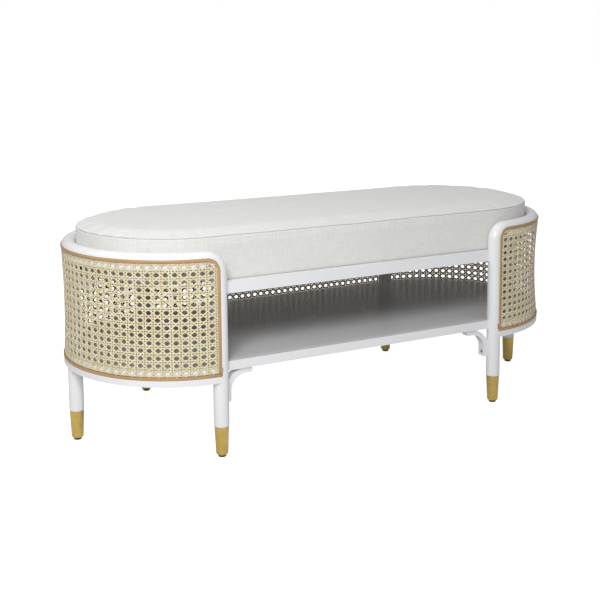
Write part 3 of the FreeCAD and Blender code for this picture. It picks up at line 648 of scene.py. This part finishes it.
def swell(points, faces, held, frames=20):
    """Blows a closed cover up as cloth and returns where its points end."""
    mesh = bpy.data.meshes.new("swelling")
    mesh.from_pydata(points.tolist(), [], faces)
    cover = bpy.data.objects.new("swelling", mesh)
    bpy.context.scene.collection.objects.link(cover)
    group = cover.vertex_groups.new(name="held")
    for index in np.flatnonzero(held):
        group.add([int(index)], float(held[index]), "REPLACE")
    modifier = cover.modifiers.new("cloth", "CLOTH")
    cloth = modifier.settings
    cloth.quality = 6
    cloth.mass = 0.35
    cloth.tension_stiffness = cloth.compression_stiffness = 25
    cloth.shear_stiffness = 10
    cloth.bending_stiffness = 2.5
    cloth.tension_damping = cloth.compression_damping = 12
    cloth.air_damping = 3
    cloth.use_pressure = True
    cloth.uniform_pressure_force = 4
    cloth.vertex_group_mass = "held"
    cloth.pin_stiffness = 6
    cloth.effector_weights.gravity = 0
    modifier.collision_settings.use_collision = False
    modifier.collision_settings.use_self_collision = False
    modifier.point_cache.frame_start, modifier.point_cache.frame_end = 1, frames
    for number in range(1, frames + 1):
        bpy.context.scene.frame_set(number)
    settled = cover.evaluated_get(bpy.context.evaluated_depsgraph_get())
    ends = np.empty(len(points) * 3, np.float32)
    settled.to_mesh().vertices.foreach_get("co", ends)
    settled.to_mesh_clear()
    bpy.data.objects.remove(cover)
    bpy.data.meshes.remove(mesh)
    bpy.context.scene.frame_set(1)
    return ends.reshape(-1, 3)


def resample(grid, at, axis, closed):
    """Catmull-Rom values of a grid at fractional places along one axis."""
    grid = np.moveaxis(grid, axis, 0)
    count = len(grid)
    whole = np.minimum(np.floor(at).astype(int), count - 1 if closed else count - 2)
    part = (at - whole).reshape(-1, *[1] * (grid.ndim - 1))
    near = [whole + shift for shift in (-1, 0, 1, 2)]
    a, b, c, d = [grid[n % count if closed else np.clip(n, 0, count - 1)] for n in near]
    bent = b + 0.5 * part * (c - a + part * (2 * a - 5 * b + 4 * c - d + part * (3 * (b - c) + d - a)))
    return np.moveaxis(bent, 0, axis)


def fine_rows(rows, seam_row):
    """Places along the profile: halves everywhere on show, and close rows each side of the seam."""
    show = 7
    below = seam_row - np.array([0.75, 0.5, 0.3, 0.19, 0.11, 0.05])
    above = seam_row + np.array([0.12, 0.27, 0.45, 0.7, 1, 1.33, 1.67])
    return np.concatenate([np.arange(show), np.arange(show, seam_row - 0.75, 0.5), below, [seam_row], above,
                           np.arange(seam_row + 2, rows - 1.25, 0.5), [rows - 1]])


def swelling(start, held):
    """How far each point of the cover moves as it is blown up."""
    index, quads = welded_faces(start)
    points, faces, kept = compact(start.reshape(-1, 3), quads.reshape(-1, 4))
    ends = swell(points, faces, held.ravel()[kept])
    moved = ends - points
    far = np.linalg.norm(moved, axis=1)[:, None]
    moved *= np.minimum(1, GIVE / np.maximum(far, 1e-9))
    number = {old: new for new, old in enumerate(kept)}
    return moved[[number[int(v)] for v in index.ravel()]].reshape(start.shape)


def relief(from_seam, stroke):
    """How far the cover stands out, in mm: the seam's groove and its lips, puckers beside it, and
    soft waves down the side."""
    groove = -2.0 * np.exp(-(from_seam / 0.95) ** 2) + 0.4 * np.exp(-((np.abs(from_seam) - 2.6) / 1.5) ** 2)
    pucker = 0.22 * np.exp(-(np.abs(from_seam) / 6) ** 2) * waves(stroke, (0.023, 0.031, 0.047), 1)
    soft = 0.25 * waves(stroke, (0.33, 0.19, 0.13), 1) * np.exp(-((from_seam + 45) / 40) ** 2)
    return groove + pucker + soft


def fine_cover():
    """The cover's fine grid, its seam's row, its rows' distances from the seam in mm, and its
    columns' distances round the outline."""
    spine, pointing, round_way = seat_columns()
    profile, seam_row = seat_profile()
    rows, columns = len(profile), len(spine)
    wander = waves(round_way, (0.9, 0.41, 0.23), 0.45 * MM)
    moved = swelling(cover_grid(profile, wander, spine, pointing), np.repeat(profile[:, 3:], columns, axis=1))

    at = fine_rows(rows, seam_row)
    around = np.arange(0, columns, 1 / SPLIT)
    spine = np.interp(around, np.arange(columns + 1), np.append(spine, spine[0]))
    stroke = np.interp(around, np.arange(columns + 1), np.append(round_way, OUTLINE))
    way = resample(pointing, around, 0, True)
    way /= np.linalg.norm(way, axis=1)[:, None]
    fine = resample(resample(moved, at, 0, False), around, 1, True)
    fine += cover_grid(resample(profile, at, 0, False), resample(wander, around, 0, True), spine, way)

    span = np.linalg.norm(np.diff(fine, axis=0), axis=2).mean(axis=1)
    distance = np.append(0, np.cumsum(span))
    seam_at = int(np.flatnonzero(at == seam_row)[0])
    from_seam = (distance - distance[seam_at])[:, None] / MM
    push = relief(from_seam, stroke) * MM
    fine[..., :2] += push[..., None] * way

    reach = np.hypot(fine[..., 0] - spine, fine[..., 1])
    above_pole = np.clip((fine[..., 2] - POLE_Z - POLE_R) / (12 * MM), 0, 1)
    room = SEAT_R + 0.2 * MM + 1.8 * MM * above_pole
    draw_in = np.minimum(1, room / np.maximum(reach, 1e-9))
    fine[..., 0] = spine + (fine[..., 0] - spine) * draw_in
    fine[..., 1] *= draw_in
    fine[0, :, 1] = fine[-1, :, 1] = 0
    fine[-1, :, 2] = fine[-1, :, 2].mean()
    return fine, seam_at, from_seam, stroke


def cushion():
    """The cushion's cover, with the weave unrolled round its side and laid flat on its top."""
    fine, seam_at, from_seam, stroke = fine_cover()
    columns = len(stroke)
    _, quads = welded_faces(fine)
    verts, faces, kept = compact(fine.reshape(-1, 3), quads.reshape(-1, 4))
    piece = new_piece("seat_cushion", verts, faces, materials["linen"])
    uv = []
    for quad, face in enumerate(faces):
        row, column = divmod(quad, columns)
        for corner in face:
            x, y, z = verts[corner]
            if row < seam_at and z > seat_low.z + 1 * MM:
                place = stroke[kept[corner] % columns]
                uv.append((OUTLINE if column == columns - 1 and place == 0 else place, z))
            else:
                uv.append((x, y))
    set_uv(piece.data, "cloth", uv)
    # painted shade for the linen: darkest in the seam's groove, and a painted contact shadow along the
    # cushion's foot
    seam = piece.data.attributes.new("seam", "FLOAT", "POINT")
    seam_groove_shade = np.exp(-(from_seam / 0.8) ** 2).ravel()[[k // columns for k in kept]]
    # painted contact shadow along the foot, where the cushion sits on the apron
    foot_contact_shadow = 0.9 * np.exp(-((verts[:, 2] - seat_low.z) / (1.6 * MM)) ** 2)
    seam.data.foreach_set("value", np.maximum(seam_groove_shade, foot_contact_shadow).astype(np.float32))
    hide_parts("seat_cover", "seat_foam")


cushion()

# ---------------------------------------------------------------- camera, light and floor


def area_light(name, place, target, size, power, color):
    data = bpy.data.lights.new(name, "AREA")
    data.shape = "DISK"
    data.size = size
    data.energy = power
    data.color = color
    lamp = bpy.data.objects.new(name, data)
    lamp.location = place
    lamp.rotation_euler = (Vector(target) - Vector(place)).to_track_quat("-Z", "Y").to_euler()
    bpy.context.scene.collection.objects.link(lamp)


def camera():
    """Looks from the left of the front, a little above it."""
    data = bpy.data.cameras.new("camera")
    data.sensor_width = 36
    data.lens = 61.43
    data.shift_y = -0.2
    made = bpy.data.objects.new("camera", data)
    yaw, pitch, roll = math.radians(27.46), math.radians(7.12), math.radians(-0.41)
    look = Matrix.Rotation(-yaw, 4, "Z") @ Matrix.Rotation(math.pi / 2 - pitch, 4, "X")
    made.matrix_world = Matrix.Translation((-1.1502, -2.137, 0.8357)) @ look @ Matrix.Rotation(roll, 4, "Z")
    bpy.context.scene.collection.objects.link(made)
    bpy.context.scene.camera = made


def studio():
    """A white backdrop and floor for the camera, and soft light for the bench."""
    scene = bpy.context.scene
    scene.view_settings.view_transform = "Standard"
    world = bpy.data.worlds.new("studio")
    world.use_nodes = True
    scene.world = world
    nodes, links = world.node_tree.nodes, world.node_tree.links
    backdrop = nodes["Background"]
    backdrop.inputs["Strength"].default_value = 1.0
    backdrop.inputs["Color"].default_value = (1, 1, 1, 1)
    room = nodes.new("ShaderNodeBackground")
    room.inputs["Strength"].default_value = 0.436
    room.inputs["Color"].default_value = (0.985, 0.99, 1.0, 1)
    rays = nodes.new("ShaderNodeLightPath")
    mix = nodes.new("ShaderNodeMixShader")
    links.new(rays.outputs["Is Camera Ray"], mix.inputs["Fac"])
    links.new(room.outputs["Background"], mix.inputs[1])
    links.new(backdrop.outputs["Background"], mix.inputs[2])
    links.new(mix.outputs["Shader"], nodes["World Output"].inputs["Surface"])
    area_light("key", (-1.15, -1.5, 1.5), target=(-0.3, -0.1, 0.3), size=0.8, power=24, color=(1, 1, 1))
    area_light("top", (-0.8, 0.3, 2.4), target=(-0.1, 0, 0.4), size=2.0, power=11, color=(1, 0.99, 0.97))

    bpy.ops.mesh.primitive_circle_add(vertices=96, radius=40, fill_type="NGON")
    floor = bpy.context.active_object
    floor.name = "floor"
    made = Shader("floor", (0.75, 0.75, 0.75), 0.9, Specular_IOR_Level=0.0, Emission_Color=(1, 1, 1, 1))
    seen = made.calc(made.node("LightPath").outputs["Is Camera Ray"], 0.8, "MULTIPLY")
    made.plug("Emission Strength", seen)
    floor.data.materials.append(made.material)


camera()
studio()
